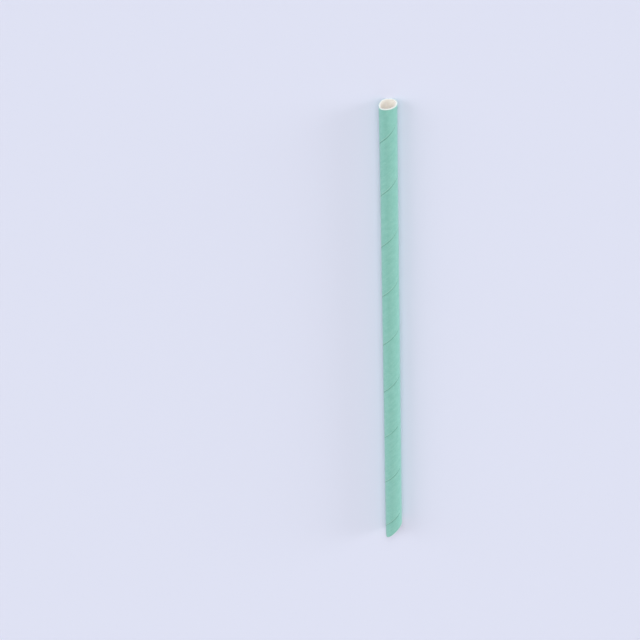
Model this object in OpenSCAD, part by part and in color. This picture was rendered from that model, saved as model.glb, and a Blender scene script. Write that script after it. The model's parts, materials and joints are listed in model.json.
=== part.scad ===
// Paper drinking straw: a mint strip wound in a spiral round a white paper tube.
// One end is cut flat, the other is cut slanting to a point. It lies along +Y on the
// plane z = 0, flat end at +Y, with the long side of its point towards -X.

/* [Straw] */
// Length from the flat end to the point
straw_length = 197; // [100:1:260]
// Outside diameter
outer_d = 6; // [5.5:0.1:12]
// Width of the flat that the straw lies on, pressed into the paper along its underside
flat_w = 1.2; // [0.5:0.1:1.5]

/* [Paper] */
// Thickness of the white tube's wall
inner_t = 0.28; // [0.2:0.02:0.8]
// Thickness of the mint strip
wrap_t = 0.16; // [0.1:0.01:0.3]
// Width of the mint strip, across its edges
strip_w = 14.3; // [8:0.1:16]
// Width of the seam where the strip's edges meet, at the surface
seam_w = 0.2; // [0.1:0.01:0.4]
// Depth at which the strip's edges still touch, above the white tube
seam_foot = 0.04; // [0.02:0.01:0.06]
// Distance from the flat end to the seam's first crossing of the top
seam_start = 10.8; // [0:0.1:40]

/* [Point] */
// Angle between the slanting cut and the straw's axis
tip_angle = 40; // [25:1:75]
// Turn of the point's long side round the axis, from the underside towards -X
point_turn = 90; // [0:5:180]

/* [Hidden] */
$fn = 96;

outer_r = outer_d / 2;
joint_r = outer_r - wrap_t;
bore_r = joint_r - inner_t;
// Height of the axis over the flat
rest_h = sqrt(pow(outer_r, 2) - pow(flat_w / 2, 2));

// The strip's edges climb at this angle, so that one turn moves on by exactly one strip
lead_angle = asin(strip_w / (PI * outer_d));
pitch = PI * outer_d * tan(lead_angle);

// A cut that removes paper runs past it by this much
overrun = 1;
steps_per_turn = 30;

// Place of the seam round the axis at a height above the point
top_side = 270;
function seam_at(z) = top_side + 360 * (z - straw_length + seam_start) / pitch;

// The seam is a V: its three corners at one height, with the foot towards the axis
foot_r = joint_r + seam_foot;
mouth_r = outer_r + wrap_t;
seam_half = seam_w / 2 / sin(lead_angle) / outer_r * 180 / PI;
mouth_half = seam_half * (mouth_r - foot_r) / (outer_r - foot_r);
function corner(r, a, z) = [r * cos(a), r * sin(a), z];
function seam_ring(z) = [
    corner(foot_r, seam_at(z), z),
    corner(mouth_r, seam_at(z) - mouth_half, z),
    corner(mouth_r, seam_at(z) + mouth_half, z)
];

// The long helical wedge that parts the strip's edges
module seam() {
    low = -overrun;
    high = straw_length + overrun;
    steps = ceil((high - low) / pitch * steps_per_turn);
    last = 3 * steps;
    points = [for (i = [0:steps]) each seam_ring(low + (high - low) * i / steps)];
    sides = [
        for (i = [0:steps - 1]) for (k = [0:2])
            let (a = 3 * i + k, b = 3 * i + (k + 1) % 3)
            each [[a, a + 3, b + 3], [a, b + 3, b]]
    ];
    ends = [[0, 1, 2], [last, last + 2, last + 1]];
    polyhedron(points = points, faces = concat(sides, ends));
}

// Everything below the slanting cut
module below_point() {
    side = 3 * outer_d / sin(tip_angle);
    rotate([0, 0, point_turn])
        translate([0, outer_r, 0])
            rotate([tip_angle - 90, 0, 0])
                translate([-side / 2, -side / 2, -side])
                    cube(side);
}

// Everything under the flat, while the straw still stands on its point
module below_flat() {
    translate([-outer_r, rest_h, -overrun])
        cube([outer_d, outer_d, straw_length + 2 * overrun]);
}

// A length of tube, standing on its point, cut to the straw's ends
module cut_tube(r_out, r_in) {
    difference() {
        cylinder(r = r_out, h = straw_length);
        translate([0, 0, -overrun])
            cylinder(r = r_in, h = straw_length + 2 * overrun);
        below_point();
    }
}

// Lays a standing straw down along +Y
module lying() {
    translate([0, -straw_length / 2, rest_h])
        rotate([-90, 0, 0])
            children();
}

// White paper tube, which carries the bore
module inner_tube() {
    color([0.95, 0.94, 0.9])
        lying()
            cut_tube(joint_r, bore_r);
}

// Mint paper strip, wound in a spiral with its edges side by side
module outer_wrap() {
    color([0.6, 0.87, 0.78])
        lying()
            difference() {
                cut_tube(outer_r, joint_r);
                seam();
                below_flat();
            }
}

inner_tube();
outer_wrap();
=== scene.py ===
"""Looks of a paper drinking straw: a mint strip wound in a spiral round a white tube.

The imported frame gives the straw's length, radii and place. Each ply of paper is modelled
here as the wound and cut strip that it is, in metres. The mint ply stands for one node of
the frame, and the two white plies under it for the other.

In the names below r is a distance from the straw's axis, theta an angle round it, and s a
distance along it from the tip of the point.
"""

import json
import math
from collections import namedtuple

import bmesh
import bpy
import numpy as np
from mathutils import Matrix, Vector


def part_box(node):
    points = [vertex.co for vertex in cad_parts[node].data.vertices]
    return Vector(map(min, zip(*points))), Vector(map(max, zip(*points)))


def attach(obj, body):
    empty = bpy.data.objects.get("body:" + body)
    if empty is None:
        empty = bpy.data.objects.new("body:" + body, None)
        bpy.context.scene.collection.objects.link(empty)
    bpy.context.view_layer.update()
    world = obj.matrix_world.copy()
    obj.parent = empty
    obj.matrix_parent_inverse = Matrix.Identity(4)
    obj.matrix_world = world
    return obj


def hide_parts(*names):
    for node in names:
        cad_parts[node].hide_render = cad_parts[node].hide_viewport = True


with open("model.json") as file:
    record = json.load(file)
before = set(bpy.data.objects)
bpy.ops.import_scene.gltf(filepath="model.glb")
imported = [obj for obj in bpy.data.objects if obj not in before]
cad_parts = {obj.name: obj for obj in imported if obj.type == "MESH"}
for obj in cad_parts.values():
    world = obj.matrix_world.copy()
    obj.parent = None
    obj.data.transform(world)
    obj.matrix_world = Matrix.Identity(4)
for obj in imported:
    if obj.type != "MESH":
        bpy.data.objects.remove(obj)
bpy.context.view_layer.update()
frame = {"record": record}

MM = 0.001
TURN = 2 * math.pi

# Sizes read from the frame
mounts = {mount["name"]: mount for mount in frame["record"]["mounts"]}
outer_r = mounts["straw_outside"]["dims"]["r_mm"] * MM
bore_r = mounts["straw_bore"]["dims"]["r_mm"] * MM
axis_z = mounts["straw_bore"]["pos_m"][2]
wrap_low, wrap_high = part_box("outer_wrap")
point_y = wrap_low.y
length = wrap_high.y - wrap_low.y

# Sizes of the paper, as the frame's pieces have them
WRAP_T = 0.16 * MM
STRIP_W = 14.3 * MM
SEAM_W = 0.2 * MM
SEAM_START = 10.8 * MM
TIP_ANGLE = math.radians(40)
joint_r = outer_r - WRAP_T

# The white tube's two plies, which the frame has as one piece, and the width of their seams
GLUE_GAP = 0.004 * MM
MIDDLE_SEAM_W = 0.08 * MM
INNER_SEAM_W = 0.06 * MM
middle_r = (joint_r + bore_r) / 2

# Angles go round the axis from +X, by way of the underside; the long side of the point is at -X
TOP = 0.75 * TURN
LONG_SIDE = 0.5 * TURN

# The strip's edges climb at the lead angle, so that one turn moves on by exactly one strip
lead = math.asin(STRIP_W / (TURN * outer_r))
lead_deg = math.degrees(lead)
pitch = TURN * outer_r * math.tan(lead)

# The mouth is wider than the straw and out of round: shares of the radius, the angle of the
# oval's long axis, and how far down the straw both fade
MOUTH_FLARE = 0.01
MOUTH_OVAL = 0.068
MOUTH_OVAL_SIDE = math.radians(41)
MOUTH_OVAL_REACH = 16 * MM
# The flat cut isn't quite flat: lobes round the mouth, millimetres along the axis, and the
# degrees at which the first lobe crests
MOUTH_LOBES = ((1, 0.295, 48), (2, 0.075, 118), (3, 0.09, 142))
MOUTH_LOBES_REACH = 5 * MM
# The plies swell towards the bore where the mouth was cut
MOUTH_SWELL = 0.15 * MM
MOUTH_SWELL_REACH = 0.8 * MM
# The tip of the slanting cut curls in, and its heel stands out
TIP_CURL = 0.16 * MM
TIP_CURL_REACH = 1.6 * MM
HEEL_FLARE = 0.08 * MM
HEEL_REACH = 0.7 * MM
# The wall has shallow dents: millimetres along the axis from one to the next, lobes round the
# axis, phase and share
WAVE = 0.012 * MM
WAVES = ((31, 2, 0.0, 1.0), (47, -3, 1.3, 1.0), (9.5, 4, 0.6, 0.5))

# Both cuts are rough, and a seam's width varies about a mean share of its full width. Such
# an unevenness adds up waves, so many to a turn, and is scaled to run from about -1 to 1
CUT_ROUGH = 0.03 * MM
CUT_CYCLES = (5, 9, 14, 23, 37, 58)
SEAM_MEAN = 0.85
SEAM_SPREAD = 0.3
SEAM_CYCLES = (0.7, 1.3, 2.9, 6.1)
UNEVEN_SCALE = 1.5


def smooth(t):
    """0 to 1 with soft ends."""
    t = np.clip(t, 0.0, 1.0)
    return t * t * (3 - 2 * t)


def cut_s(r, theta):
    """Where the slanting cut is, on a cylinder of radius r."""
    return (outer_r - r * np.cos(theta - LONG_SIDE)) / math.tan(TIP_ANGLE)


def seam_s(theta, start):
    """Where a strip's lower edge runs, given how far from the mouth it last crosses the top."""
    return length - start + pitch * (theta - TOP) / TURN


def waves(theta, s):
    """Height of the wall's dents and swells."""
    total = 0
    for mm, lobes, phase, share in WAVES:
        total = total + share * np.sin(TURN * s / (mm * MM) + lobes * theta + phase)
    return WAVE * total / sum(share for mm, lobes, phase, share in WAVES)


def wall_shift(theta, s):
    """How far the wall stands off its true radius: its dents, the heel's flare and the tip's curl."""
    past_cut = np.maximum(s - cut_s(outer_r, theta), 0)
    heel = HEEL_FLARE * np.exp(-past_cut / HEEL_REACH) * smooth(-np.cos(theta - LONG_SIDE))
    curl = np.clip(1 - s / TIP_CURL_REACH, 0, 1) ** 2 * smooth(np.cos(theta - LONG_SIDE))
    return waves(theta, s) + heel - TIP_CURL * curl


def mouth_rise(theta, s):
    """How far the mouth's uneven cut moves the paper along the axis."""
    rise = sum(mm * MM * np.cos(k * (theta - math.radians(crest))) for k, mm, crest in MOUTH_LOBES)
    return rise * smooth((s - length + MOUTH_LOBES_REACH) / MOUTH_LOBES_REACH)


def place(r, theta, s):
    """Where a point of the paper lies in the frame."""
    near_mouth = np.exp(-(length - s) / MOUTH_OVAL_REACH)
    oval = near_mouth * (MOUTH_FLARE + MOUTH_OVAL * np.cos(2 * (theta - MOUTH_OVAL_SIDE)))
    shift = wall_shift(theta, s)
    skin = outer_r * (1 + oval) + shift
    depth = (outer_r - r) / (outer_r - bore_r)
    swell = MOUTH_SWELL * depth * np.exp(-(length - s) / MOUTH_SWELL_REACH)
    r = r * (1 + oval) + shift - swell
    # The wall gives where its skin would reach below the plane that the straw lies on
    given = np.maximum(skin * np.sin(theta) - axis_z, 0)
    x = r * np.cos(theta)
    y = point_y + s + mouth_rise(theta, s)
    z = np.maximum(axis_z - r * np.sin(theta) + given, 0.0)
    return np.stack([x, y, z], -1)


def uneven(theta, seed, cycles):
    """A smooth random line round the straw, from about -1 to 1."""
    draw = np.random.default_rng(seed)
    total = np.zeros_like(theta)
    for cycle in cycles:
        total += np.sin(cycle * theta + draw.uniform(0, TURN)) * draw.uniform(0.5, 1.0)
    return total * UNEVEN_SCALE / len(cycles)


# Section of a strip near one of its edges, from its hidden face to its seen face and inwards.
# Each row is: share of the thickness, share of the seam's half width, millimetres further in,
# millimetres proud, and marks for painted seam shade, painted edge highlight and raw cut.
# The lower edge: its groove wall takes painted shade and its raised lip a painted highlight
LOW_EDGE = [
    (0.00, 0.0, 0.00, 0.000, (1, 0, 0)),
    (0.25, 0.0, 0.00, 0.000, (1, 0, 0)),
    (0.70, 0.7, 0.00, 0.000, (1, 0, 0)),
    (0.93, 1.0, 0.00, 0.006, (0.35, 0.5, 0)),
    (1.00, 1.0, 0.03, 0.014, (0, 1, 0)),
    (1.00, 1.0, 0.12, 0.020, (0, 0.9, 0)),
    (1.00, 1.0, 0.28, 0.015, (0, 0.3, 0)),
    (1.00, 1.0, 0.60, 0.004, (0, 0, 0)),
    (1.00, 1.0, 1.20, 0.000, (0, 0, 0)),
]
# The upper edge: painted shade down its groove wall
HIGH_EDGE = [
    (0.00, 0.0, 0.00, 0.000, (1, 0, 0)),
    (0.25, 0.0, 0.00, 0.000, (1, 0, 0)),
    (0.62, 0.7, 0.00, 0.000, (1, 0, 0)),
    (0.87, 1.0, 0.00, 0.000, (0.8, 0, 0)),
    (0.95, 1.0, 0.05, 0.000, (0.3, 0, 0)),
    (0.99, 1.0, 0.15, 0.000, (0.05, 0, 0)),
    (1.00, 1.0, 0.30, 0.000, (0, 0, 0)),
    (1.00, 1.0, 0.60, 0.000, (0, 0, 0)),
    (1.00, 1.0, 1.20, 0.000, (0, 0, 0)),
]
CUT_EDGE = [
    (0.00, 0.0, 0.014, 0.000, (0, 0, 1)),
    (0.08, 0.0, 0.002, 0.000, (0, 0, 1)),
    (0.35, 0.0, 0.000, 0.000, (0, 0, 1)),
    (0.65, 0.0, 0.000, 0.000, (0, 0, 1)),
    (0.92, 0.0, 0.003, 0.000, (0, 0, 1)),
    (1.00, 0.0, 0.018, 0.000, (0, 0, 1)),
    (1.00, 0.0, 0.060, 0.000, (0, 0, 0.8)),
    (1.00, 0.0, 0.250, 0.000, (0, 0, 0)),
    (1.00, 0.0, 1.200, 0.000, (0, 0, 0)),
]
# Width of strip that the rows of both its edges need; a narrower stretch squeezes them
EDGE_ROOM = 2.6 * MM

# The search for a strip's first angle: its steps, and the turns that it covers beyond the straw's
SEARCH_STEPS = 60001
SEARCH_BEYOND = 1.4

# Rows that a ply's texture places are folded into, and the free margin round each
ROWS_PER_PLY = 3
MARGIN = 0.01

# Metres under which two points are one, and an edge is none
SAME_POINT = 1e-8
NO_EDGE = 1e-9

# Points, their places on the unrolled paper and their marks; faces and their texture places
Ply = namedtuple("Ply", "points unrolled marks faces corners")


def edge_rows(is_cut, seam_edge, seam_half, front_r, back_r):
    """Radii, distances from the edge and marks of the rows along a strip's edge."""
    cut_share, _, cut_in, cut_proud, cut_marks = map(np.array, zip(*CUT_EDGE))
    seam_share, seam_gap, seam_in, seam_proud, seam_marks = map(np.array, zip(*seam_edge))
    outward = 1 if front_r > back_r else -1
    pick = is_cut[:, None]

    def radius(share, proud):
        return back_r + (front_r - back_r) * share + outward * proud * MM

    radii = np.where(pick, radius(cut_share, cut_proud), radius(seam_share, seam_proud))
    inward = np.where(pick, cut_in * MM, seam_gap * seam_half[:, None] + seam_in * MM)
    marks = np.where(pick[:, :, None], cut_marks, seam_marks)
    return radii, inward, marks


def strip_angles(front_r, back_r, start, columns_per_turn):
    """Angles of a strip's columns, from its start at the slanting cut to its end at the mouth."""
    last = TOP + TURN * start / pitch
    theta = np.linspace(last - TURN * (length / pitch + SEARCH_BEYOND), last, SEARCH_STEPS)
    upper = seam_s(theta, start) + pitch
    cut_away = (upper <= cut_s(front_r, theta)) & (upper <= cut_s(back_r, theta))
    first = theta[np.nonzero(cut_away)[0].max()]
    return np.linspace(first, last, int((last - first) / TURN * columns_per_turn))


def strip_edges(theta, front_r, back_r, start, seam_w, seed):
    """Radii, places along the axis and marks of the rows along a strip's lower and upper edges."""
    seam_low = seam_s(theta, start)
    seam_high = seam_low + pitch
    low_cut = cut_s(front_r, theta) > seam_low
    high_cut = seam_high > length
    width = SEAM_MEAN + SEAM_SPREAD * uneven(theta, seed, SEAM_CYCLES)
    seam_half = seam_w / 2 / math.cos(lead) * width
    low_r, low_in, low_marks = edge_rows(low_cut, LOW_EDGE, seam_half, front_r, back_r)
    high_r, high_in, high_marks = edge_rows(high_cut, HIGH_EDGE, seam_half, front_r, back_r)
    # The two edges meet at each pointed end of the strip
    low_r[-1] = high_r[-1]
    high_r[0] = low_r[0]
    point_rough = CUT_ROUGH * np.abs(uneven(theta, seed + 1, CUT_CYCLES))[:, None]
    mouth_rough = CUT_ROUGH * np.abs(uneven(theta, seed + 2, CUT_CYCLES))[:, None]

    def low_at(r):
        return np.where(low_cut[:, None], cut_s(r, theta[:, None]) + point_rough, seam_low[:, None])

    high_at = np.where(high_cut[:, None], length - mouth_rough, seam_high[:, None])
    room = np.maximum(high_at - low_at(front_r), 0)
    squeeze = np.minimum(room / EDGE_ROOM, 1)
    low_s = np.minimum(low_at(low_r) + low_in * squeeze, high_at)
    high_s = np.maximum(high_at - high_in * squeeze, np.minimum(low_s[:, -1:], high_at))
    return (low_r, low_s, low_marks), (high_r, high_s, high_marks)


def wind_strip(front_r, back_r, start, seam_w, columns_per_turn, face_rows, back_rows, seed):
    """One ply: a strip's section, wound from the point to the mouth.

    The section is a ring of rows: the lower edge, the seen face, the upper edge, the hidden face.
    """
    theta = strip_angles(front_r, back_r, start, columns_per_turn)
    low, high = strip_edges(theta, front_r, back_r, start, seam_w, seed)
    low_r, low_s, low_marks = low
    high_r, high_s, high_marks = (part[:, ::-1] for part in high)
    face_share = np.linspace(0, 1, face_rows + 2)[1:-1]
    back_share = np.linspace(1, 0, back_rows + 2)[1:-1]
    face_s = low_s[:, -1:] + (high_s[:, :1] - low_s[:, -1:]) * face_share
    back_s = low_s[:, :1] + (high_s[:, -1:] - low_s[:, :1]) * back_share
    face_radii = np.full_like(face_s, front_r)
    back_radii = np.full_like(back_s, back_r)
    face_marks = np.zeros(face_s.shape + (3,))
    back_marks = np.zeros(back_s.shape + (3,))
    s = np.concatenate([low_s, face_s, high_s, back_s], 1)
    r = np.concatenate([low_r, face_radii, high_r, back_radii], 1)
    marks = np.concatenate([low_marks, face_marks, high_marks, back_marks], 1)
    around = theta[:, None] + np.zeros_like(s)
    points = place(r, around, s)
    unrolled = np.stack([around * outer_r, s, r], -1)
    faces, corners = grid_faces(s, r)
    return Ply(points.reshape(-1, 3), unrolled.reshape(-1, 3), marks.reshape(-1, 3), faces, corners)


def grid_faces(s, r):
    """Quads between neighbouring columns, whose rows close on themselves, and their texture places.

    A corner's place is its column's share of the ply and its row's share of the way round the
    section.
    """
    columns, rows = s.shape
    row = np.arange(rows)
    next_row = (row + 1) % rows
    column = np.arange(columns - 1)[:, None]
    near = column * rows
    far = (column + 1) * rows
    quads = np.stack([near + row, far + row, far + next_row, near + next_row], -1)
    middle = columns // 2
    steps_s = np.diff(s[middle], append=s[middle, 0])
    steps_r = np.diff(r[middle], append=r[middle, 0])
    steps = np.hypot(steps_s, steps_r)
    around = np.concatenate([[0], np.cumsum(steps)]) / steps.sum()
    along = np.stack([column, column + 1, column + 1, column], -1) + 0 * quads
    across = np.stack([around[row], around[row], around[row + 1], around[row + 1]], -1) + 0 * along
    corners = np.stack([along / (columns - 1), across], -1)
    return quads.reshape(-1, 4), corners.reshape(-1, 4, 2)


def lay_out(corners, ply, plies):
    """Folds one ply's long strip of texture places into rows, after those of the plies before it."""
    share = corners[..., 0].mean(1, keepdims=True) * ROWS_PER_PLY
    row = np.floor(share)
    along = corners[..., 0] * ROWS_PER_PLY - row
    across = corners[..., 1] * (1 - 2 * MARGIN)
    u = MARGIN / 2 + along * (1 - MARGIN)
    v = (row + ply * ROWS_PER_PLY + MARGIN + across) / (ROWS_PER_PLY * plies)
    return np.stack([u, v], -1)


def make_piece(name, plies):
    """One mesh object of one or more plies. Its points carry their unrolled places and their marks."""
    starts = np.cumsum([0] + [len(ply.points) for ply in plies])
    points = np.concatenate([ply.points for ply in plies])
    unrolled = np.concatenate([ply.unrolled for ply in plies])
    marks = np.concatenate([ply.marks for ply in plies])
    faces = np.concatenate([ply.faces + start for ply, start in zip(plies, starts)])
    places = np.concatenate([lay_out(ply.corners, k, len(plies)) for k, ply in enumerate(plies)])
    mesh = bpy.data.meshes.new(name)
    mesh.from_pydata(points.tolist(), [], faces.tolist())
    mesh.uv_layers.new(name="OFBake").uv.foreach_set("vector", places.ravel())
    for attribute, values in (("unrolled", unrolled), ("marks", marks)):
        data = mesh.attributes.new(attribute, "FLOAT_VECTOR", "POINT").data
        data.foreach_set("vector", values.ravel())
    close_ends(mesh)
    mesh.polygons.foreach_set("use_smooth", [True] * len(mesh.polygons))
    piece = bpy.data.objects.new(name, mesh)
    bpy.context.scene.collection.objects.link(piece)
    return piece


def close_ends(mesh):
    """Joins points that coincide, so that each strip's pointed ends close."""
    bm = bmesh.new()
    bm.from_mesh(mesh)
    bmesh.ops.remove_doubles(bm, verts=bm.verts, dist=SAME_POINT)
    bmesh.ops.dissolve_degenerate(bm, edges=bm.edges, dist=NO_EDGE)
    bmesh.ops.recalc_face_normals(bm, faces=bm.faces)
    bm.to_mesh(mesh)
    bm.free()


def srgb(r, g, b):
    """Colour written as it looks on screen, 0 to 255, as the linear colour that a shader takes."""
    return [((c / 255 + 0.055) / 1.055) ** 2.4 for c in (r, g, b)] + [1.0]


class Nodes:
    """Short names for building one material's nodes."""

    def __init__(self, name):
        self.material = bpy.data.materials.new(name)
        self.material.use_nodes = True
        self.tree = self.material.node_tree
        self.tree.nodes.clear()

    def add(self, kind, **settings):
        node = self.tree.nodes.new("ShaderNode" + kind)
        for key, value in settings.items():
            setattr(node, key, value)
        return node

    def feed(self, socket, value):
        """Gives a socket a value, or links another socket to it."""
        if isinstance(value, bpy.types.NodeSocket):
            self.tree.links.new(value, socket)
        else:
            socket.default_value = value

    def mix(self, share, a, b):
        """Colour a with a share of colour b."""
        node = self.add("Mix", data_type="RGBA")
        for number, value in ((0, share), (6, a), (7, b)):
            self.feed(node.inputs[number], value)
        return node.outputs[2]

    def math(self, operation, a, b):
        node = self.add("Math", operation=operation)
        self.feed(node.inputs[0], a)
        self.feed(node.inputs[1], b)
        return node.outputs[0]

    def weigh(self, first, *others):
        """Sum of values, each of them times its weight."""
        total = self.math("MULTIPLY", *first)
        for other in others:
            total = self.math("ADD", total, self.math("MULTIPLY", *other))
        return total

    def spread(self, value, low, high, new_low=0.0, new_high=1.0):
        """Moves the range low to high to another, with soft ends."""
        node = self.add("MapRange", interpolation_type="SMOOTHSTEP")
        for name, number in (("Value", value), ("From Min", low), ("From Max", high)):
            self.feed(node.inputs[name], number)
        for name, number in (("To Min", new_low), ("To Max", new_high)):
            self.feed(node.inputs[name], number)
        return node.outputs[0]

    def noise(self, where, sizes, detail, turn=0):
        """Noise whose features measure sizes, in millimetres along the strip, across and through it.

        The turn, in degrees, leads away from the strip's own direction.
        """
        mapping = self.add("Mapping", vector_type="TEXTURE")
        mapping.inputs["Rotation"].default_value = (0, 0, math.radians(lead_deg + turn))
        mapping.inputs["Scale"].default_value = [k * MM for k in sizes]
        self.feed(mapping.inputs["Vector"], where)
        texture = self.add("TexNoise")
        texture.inputs["Scale"].default_value = 1.0
        texture.inputs["Detail"].default_value = detail
        self.feed(texture.inputs["Vector"], mapping.outputs[0])
        return texture.outputs["Fac"]


# Colours of the papers, their cut edges and hairs, and the painted shade in their seams. The
# lightest mint also serves as a painted highlight along each seam's raised edge
MINT = srgb(131, 193, 179)
MINT_DEEP = srgb(124, 188, 173)
MINT_PALE = srgb(186, 226, 212)
MINT_RAW = srgb(213, 228, 219)
MINT_PAINTED_SHADE = srgb(84, 152, 134)
WHITE = srgb(253, 249, 242)
WHITE_WARM = srgb(251, 245, 235)
WHITE_RAW = srgb(222, 222, 217)
WHITE_FIBRE = srgb(233, 222, 206)
WHITE_PAINTED_SHADE = srgb(214, 203, 186)

# Features of the papers: millimetres along the strip, across and through it
MINT_CLOUD = (2.4, 1.6, 1.0)
MINT_STREAK = (28.0, 0.45, 1.0)
MINT_GRAIN = (0.16, 0.08, 0.08)
WHITE_CLOUD = (1.8, 1.2, 0.6)
WHITE_GRAIN = (0.14, 0.07, 0.07)
# Hairs of pulp: their length and depth, and the turn and width of each of their layers
HAIR_LENGTH = 1.1
HAIR_DEPTH = 0.05
HAIR_LAYERS = ((0, 0.05), (32, 0.045), (-38, 0.045))
# Values of the noise between which clouds, streaks and grain, and hairs begin and are full
CLOUD_RANGE = (0.3, 0.7)
FINE_RANGE = (0.35, 0.75)
HAIR_RANGE = (0.66, 0.74)
# The mint dye ends in a ragged fringe: share of the grain in it, and where it begins and is full
FRINGE_GRAIN = 0.5
FRINGE_RANGE = (0.55, 0.95)

# Most that each feature takes of the colour beneath it
STREAK_SHARE = 0.09
GRAIN_SHARE = 0.12
MINT_HAIR_SHARE = 0.4
PAINTED_HIGHLIGHT_SHARE = 0.5
WHITE_HAIR_SHARE = 0.2
WHITE_RAW_SHARE = 0.7
WHITE_PAINTED_SHADE_SHARE = 0.5

# Gloss and relief of the papers
SPECULAR = 0.4
SHEEN = 0.12
SHEEN_ROUGHNESS = 0.4
COAT = 0.2
COAT_ROUGHNESS = 0.5
# Share of raw cut at which the coat is gone
COAT_GONE = 0.6
MINT_ROUGHNESS = (0.6, 0.52)
RAW_ROUGHNESS = 0.9
WHITE_ROUGHNESS = 0.85
RELIEF = 0.012 * MM


def paper_marks(n):
    """Place on the unrolled paper, and the marks for painted seam shade, painted edge highlight and
    raw cut.
    """
    where = n.add("Attribute", attribute_name="unrolled").outputs["Vector"]
    split = n.add("SeparateXYZ")
    n.feed(split.inputs[0], n.add("Attribute", attribute_name="marks").outputs["Vector"])
    return where, split.outputs[0], split.outputs[1], split.outputs[2]


def finish_paper(n, colour, height, roughness, coat):
    """Joins a paper's colour, relief and gloss in one shader."""
    shader = n.add("BsdfPrincipled")
    shader.inputs["Specular IOR Level"].default_value = SPECULAR
    shader.inputs["Coat Roughness"].default_value = COAT_ROUGHNESS
    shader.inputs["Sheen Weight"].default_value = SHEEN
    shader.inputs["Sheen Roughness"].default_value = SHEEN_ROUGHNESS
    n.feed(shader.inputs["Roughness"], roughness)
    n.feed(shader.inputs["Coat Weight"], coat)
    bump = n.add("Bump")
    bump.inputs["Strength"].default_value = 1.0
    bump.inputs["Distance"].default_value = RELIEF
    n.feed(bump.inputs["Height"], height)
    n.feed(shader.inputs["Normal"], bump.outputs[0])
    n.feed(shader.inputs["Base Color"], colour)
    n.feed(n.add("OutputMaterial").inputs["Surface"], shader.outputs[0])
    return n.material


def add_fibres(n, where, colour, fibre_colour, share):
    """Scatters fine hairs of pulp, most of them along the strip. Returns the colour and the hairs."""
    hairs = None
    for turn, width in HAIR_LAYERS:
        field = n.noise(where, (HAIR_LENGTH, width, HAIR_DEPTH), 1.0, turn)
        hair = n.spread(field, *HAIR_RANGE)
        hairs = hair if hairs is None else n.math("MAXIMUM", hairs, hair)
    return n.mix(n.math("MULTIPLY", hairs, share), colour, fibre_colour), hairs


def mint_paper():
    """Dyed, lightly calendered paper: cloudy pulp, faint roll streaks, light fibres and ragged cuts,
    with painted shade in its seams and a painted highlight along their raised edges.
    """
    n = Nodes("mint_paper")
    where, shade, painted_highlight, raw = paper_marks(n)
    cloud = n.noise(where, MINT_CLOUD, 3.0)
    streak = n.noise(where, MINT_STREAK, 1.0)
    grain = n.noise(where, MINT_GRAIN, 3.0)
    colour = n.mix(n.spread(cloud, *CLOUD_RANGE), MINT_DEEP, MINT)
    colour = n.mix(n.spread(streak, *FINE_RANGE, 0.0, STREAK_SHARE), colour, MINT_PALE)
    colour = n.mix(n.spread(grain, *FINE_RANGE, 0.0, GRAIN_SHARE), colour, MINT_PALE)
    colour, hairs = add_fibres(n, where, colour, MINT_PALE, MINT_HAIR_SHARE)
    # A painted highlight along the seam's raised lower edge
    colour = n.mix(n.math("MULTIPLY", painted_highlight, PAINTED_HIGHLIGHT_SHARE), colour, MINT_PALE)
    # Painted shade in the seam's groove
    colour = n.mix(shade, colour, MINT_PAINTED_SHADE)
    raw = n.spread(n.math("ADD", raw, n.math("MULTIPLY", grain, FRINGE_GRAIN)), *FRINGE_RANGE)
    colour = n.mix(raw, colour, MINT_RAW)
    height = n.weigh((grain, 0.8), (hairs, 0.35), (cloud, 0.5))
    gloss = n.spread(cloud, *CLOUD_RANGE, *MINT_ROUGHNESS)
    roughness = n.math("MAXIMUM", gloss, n.math("MULTIPLY", raw, RAW_ROUGHNESS))
    coat = n.spread(raw, 0.0, COAT_GONE, COAT, 0.0)
    return finish_paper(n, colour, height, roughness, coat)


def white_paper():
    """Uncoated white paper, greyer at its cut ends, with painted shade in its seams."""
    n = Nodes("white_paper")
    where, shade, _, raw = paper_marks(n)
    cloud = n.noise(where, WHITE_CLOUD, 4.0)
    grain = n.noise(where, WHITE_GRAIN, 4.0)
    colour = n.mix(n.spread(cloud, *CLOUD_RANGE), WHITE_WARM, WHITE)
    colour, hairs = add_fibres(n, where, colour, WHITE_FIBRE, WHITE_HAIR_SHARE)
    colour = n.mix(n.math("MULTIPLY", raw, WHITE_RAW_SHARE), colour, WHITE_RAW)
    # Painted shade in the plies' seams
    colour = n.mix(n.math("MULTIPLY", shade, WHITE_PAINTED_SHADE_SHARE), colour, WHITE_PAINTED_SHADE)
    height = n.weigh((grain, 1.4), (hairs, 0.3))
    return finish_paper(n, colour, height, WHITE_ROUGHNESS, 0.0)


# Where the photograph shows the straw: the middle of its mouth, a lower point of its axis, and
# the mouth's width, all in pixels of the 640 x 640 picture
PICTURE = 640
MOUTH_PX = (388.0, 104.1)
AXIS_PX = (390.6, 289.8)
MOUTH_WIDTH_PX = 18.3
FOCAL_PX = 2800
# Angle between the straw's axis and the line of sight at its mouth, from the mouth's ellipse
MOUTH_VIEW = math.radians(54.5)
# The camera's own sizes: its sensor's width in millimetres, and how near and far it sees
SENSOR = 36.0
SIGHT_FROM = 0.01
SIGHT_TO = 30


def ray(pixel):
    """Unit direction from the camera through a pixel, in the camera's own axes."""
    x, y = pixel
    return Vector((x - PICTURE / 2, PICTURE / 2 - y, -FOCAL_PX)).normalized()


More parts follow.
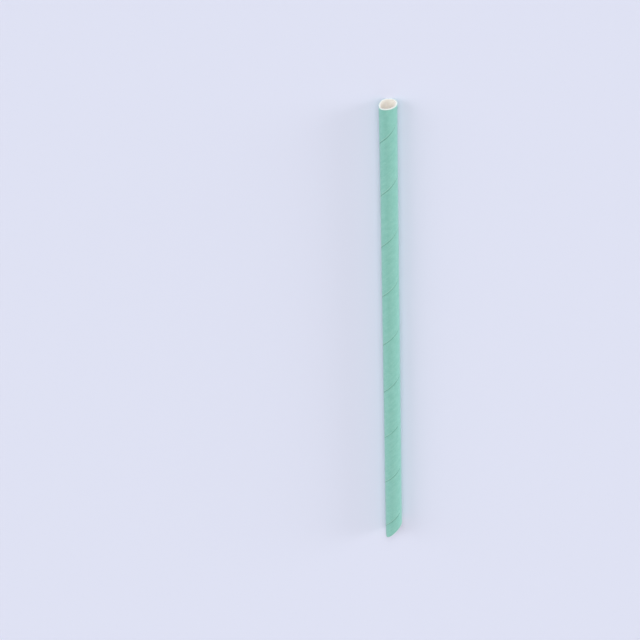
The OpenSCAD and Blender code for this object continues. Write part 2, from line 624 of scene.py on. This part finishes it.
def aim_camera():
    """Puts the camera where it sees the lying straw as the photograph sees the standing one."""
    to_mouth = ray(MOUTH_PX)
    to_axis = ray(AXIS_PX)
    across = (to_axis - to_axis.project(to_mouth)).normalized()
    toward_point = to_mouth * math.cos(MOUTH_VIEW) + across * math.sin(MOUTH_VIEW)
    world_y = -toward_point
    world_z = (-to_mouth - (-to_mouth).project(world_y)).normalized()
    world_x = world_y.cross(world_z)
    turn = Matrix((world_x, world_y, world_z))
    distance = FOCAL_PX * 2 * outer_r / MOUTH_WIDTH_PX / -to_mouth.z
    mouth = Vector((0, point_y + length, axis_z))
    data = bpy.data.cameras.new("camera")
    data.sensor_width = SENSOR
    data.lens = FOCAL_PX * SENSOR / PICTURE
    data.clip_start = SIGHT_FROM
    data.clip_end = SIGHT_TO
    camera = bpy.data.objects.new("camera", data)
    camera.matrix_world = Matrix.Translation(mouth - turn @ to_mouth * distance) @ turn.to_4x4()
    bpy.context.scene.collection.objects.link(camera)
    bpy.context.scene.camera = camera


BACKDROP = srgb(224, 227, 245)
FLOOR = srgb(228, 231, 249)
FLOOR_HALF = 6.0
FLOOR_DROP = 0.02 * MM

# Each lamp's name, the direction that it shines from, its strength and its spread in degrees
LAMPS = (
    ("mouth_side", (0.0, 0.72, 0.66), 1.35, 36),
    ("right_side", (0.95, 0.25, 0.06), 2.45, 35),
    ("point_side", (0.25, -0.58, 0.75), 0.2, 50),
    ("left_side", (-0.8, 0.3, 0.4), 1.0, 45),
)
EVEN_LIGHT = 0.4


def make_floor():
    """A plain pale floor just under the straw, as large as any view needs."""
    sides = ((-1, -1), (1, -1), (1, 1), (-1, 1))
    corners = [(x * FLOOR_HALF, y * FLOOR_HALF, -FLOOR_DROP) for x, y in sides]
    mesh = bpy.data.meshes.new("floor")
    mesh.from_pydata(corners, [], [(0, 1, 2, 3)])
    floor = bpy.data.objects.new("floor", mesh)
    bpy.context.scene.collection.objects.link(floor)
    n = Nodes("floor")
    shader = n.add("BsdfDiffuse")
    shader.inputs["Color"].default_value = FLOOR
    n.feed(n.add("OutputMaterial").inputs["Surface"], shader.outputs[0])
    mesh.materials.append(n.material)


def make_lamp(name, direction, strength, spread_deg):
    """A wide, soft, distant lamp that shines from a direction."""
    data = bpy.data.lights.new(name, "SUN")
    data.energy = strength
    data.angle = math.radians(spread_deg)
    lamp = bpy.data.objects.new(name, data)
    lamp.rotation_mode = "QUATERNION"
    lamp.rotation_quaternion = Vector(direction).to_track_quat("Z", "Y")
    bpy.context.scene.collection.objects.link(lamp)


def make_world(strength):
    """Even light from all round, and the backdrop's colour where it is seen or mirrored."""
    world = bpy.data.worlds.new("studio")
    bpy.context.scene.world = world
    world.use_nodes = True
    tree = world.node_tree
    tree.nodes.clear()
    light = tree.nodes.new("ShaderNodeBackground")
    light.inputs["Color"].default_value = (1, 1, 1, 1)
    light.inputs["Strength"].default_value = strength
    seen = tree.nodes.new("ShaderNodeBackground")
    seen.inputs["Color"].default_value = BACKDROP
    path = tree.nodes.new("ShaderNodeLightPath")
    share = path.outputs["Is Camera Ray"]
    for name in ("Is Glossy Ray", "Is Transmission Ray"):
        either = tree.nodes.new("ShaderNodeMath")
        either.operation = "MAXIMUM"
        tree.links.new(share, either.inputs[0])
        tree.links.new(path.outputs[name], either.inputs[1])
        share = either.outputs[0]
    mix = tree.nodes.new("ShaderNodeMixShader")
    out = tree.nodes.new("ShaderNodeOutputWorld")
    tree.links.new(share, mix.inputs[0])
    tree.links.new(light.outputs[0], mix.inputs[1])
    tree.links.new(seen.outputs[0], mix.inputs[2])
    tree.links.new(mix.outputs[0], out.inputs["Surface"])


def make_wrap():
    """The mint strip."""
    ply = wind_strip(
        front_r=outer_r, back_r=joint_r, start=SEAM_START, seam_w=SEAM_W,
        columns_per_turn=120, face_rows=14, back_rows=5, seed=11,
    )
    wrap = make_piece("mint_wrap", [ply])
    wrap.data.materials.append(mint_paper())
    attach(wrap, "root")
    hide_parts("outer_wrap")


def make_tube():
    """The white tube, of two plies whose seams lie a third of a pitch from the mint strip's."""
    middle_ply = wind_strip(
        front_r=joint_r - GLUE_GAP, back_r=middle_r + GLUE_GAP / 2,
        start=SEAM_START - pitch / 3, seam_w=MIDDLE_SEAM_W,
        columns_per_turn=96, face_rows=8, back_rows=8, seed=31,
    )
    inner_ply = wind_strip(
        front_r=bore_r, back_r=middle_r - GLUE_GAP / 2,
        start=SEAM_START + pitch / 3, seam_w=INNER_SEAM_W,
        columns_per_turn=110, face_rows=14, back_rows=6, seed=51,
    )
    tube = make_piece("white_tube", [middle_ply, inner_ply])
    tube.data.materials.append(white_paper())
    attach(tube, "root")
    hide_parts("inner_tube")


bpy.context.scene.view_settings.view_transform = "Standard"
aim_camera()
make_floor()
make_world(EVEN_LIGHT)
for lamp in LAMPS:
    make_lamp(*lamp)
make_wrap()
make_tube()
